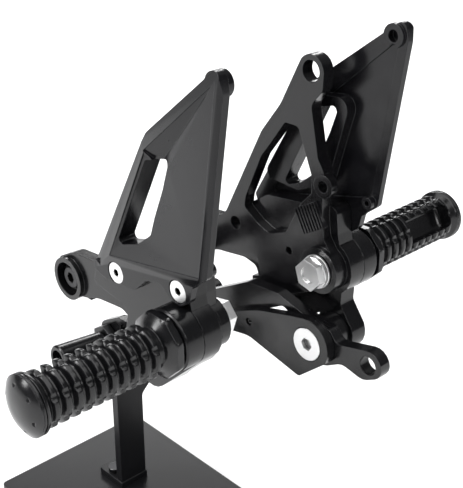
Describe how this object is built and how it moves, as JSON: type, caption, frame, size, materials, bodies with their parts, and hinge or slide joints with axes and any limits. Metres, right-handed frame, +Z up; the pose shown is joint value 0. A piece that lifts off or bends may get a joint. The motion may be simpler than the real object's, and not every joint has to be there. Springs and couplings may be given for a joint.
{
  "type": "motorcycle rear-set foot controls",
  "caption": "Mirrored footpegs with heel guards, a gear lever and a brake pedal on bolt-on brackets, held by a display stand.",
  "frame": {"origin": "on the floor under the stand's base plate, below the footpeg axis and midway between the two sides", "axes": "+X to the right of the bike along the footpegs, +Y forward, +Z up"},
  "size_m": [0.3268, 0.215, 0.3236],
  "materials": {
    "stand_paint": "satin black powder coat",
    "bracket_anodised": "machined, black anodised, satin",
    "guard_anodised": "machined, black anodised, satin",
    "peg_anodised": "turned, black anodised, semi-gloss",
    "lever_anodised": "machined, black anodised, satin",
    "stainless_steel": "bright stainless",
    "black_steel": "black oxide",
    "bush_bronze": "plain bearing bronze"
  },
  "bodies": {
    "stand_and_brackets": {"stand_base": "stand_paint", "stand_post": "stand_paint", "stand_crossbar": "stand_paint", "stand_post_screw": "black_steel", "stand_foot_screw_left": "black_steel", "stand_foot_screw_right": "black_steel", "left_bracket": "bracket_anodised", "left_heel_guard": "guard_anodised", "left_guard_screw_front": "stainless_steel", "left_guard_screw_rear": "stainless_steel", "left_peg_mount": "bracket_anodised", "left_footpeg": "peg_anodised", "left_peg_end_cap": "peg_anodised", "left_peg_bolt": "stainless_steel", "left_peg_washer": "stainless_steel", "left_frame_mount_screw": "black_steel", "right_bracket": "bracket_anodised", "right_heel_guard": "guard_anodised", "right_guard_screw_front": "stainless_steel", "right_guard_screw_rear": "stainless_steel", "right_peg_mount": "bracket_anodised", "right_footpeg": "peg_anodised", "right_peg_end_cap": "peg_anodised", "right_peg_bolt": "stainless_steel", "right_peg_washer": "stainless_steel", "right_frame_mount_screw": "black_steel", "gear_pivot_screw": "stainless_steel", "gear_pivot_washer": "stainless_steel", "brake_pivot_screw": "stainless_steel"},
    "gear_lever": {"gear_lever": "lever_anodised", "gear_pivot_bush": "bush_bronze", "gear_toe_peg_nut": "black_steel", "gear_toe_peg": "lever_anodised", "gear_toe_peg_bolt": "stainless_steel"},
    "brake_pedal": {"brake_pedal_arm": "lever_anodised", "brake_lever_plate": "lever_anodised", "brake_pivot_bush": "bush_bronze", "brake_toe_peg": "lever_anodised", "brake_toe_peg_bolt": "stainless_steel", "brake_plate_screw": "black_steel"}
  },
  "joints": [
    {"name": "gear_lever_pivot", "type": "hinge", "parent": "stand_and_brackets", "child": "gear_lever", "pos_m": [-0.025, 0.028, 0.144], "axis": [1, 0, 0], "range_deg": [-5, 10]},
    {"name": "brake_pedal_pivot", "type": "hinge", "parent": "stand_and_brackets", "child": "brake_pedal", "pos_m": [0.035, -0.007, 0.1355], "axis": [1, 0, 0], "range_deg": [-15, 0], "stiffness_Nm_per_rad": 1.5, "springref_deg": 11.46}
  ]
}
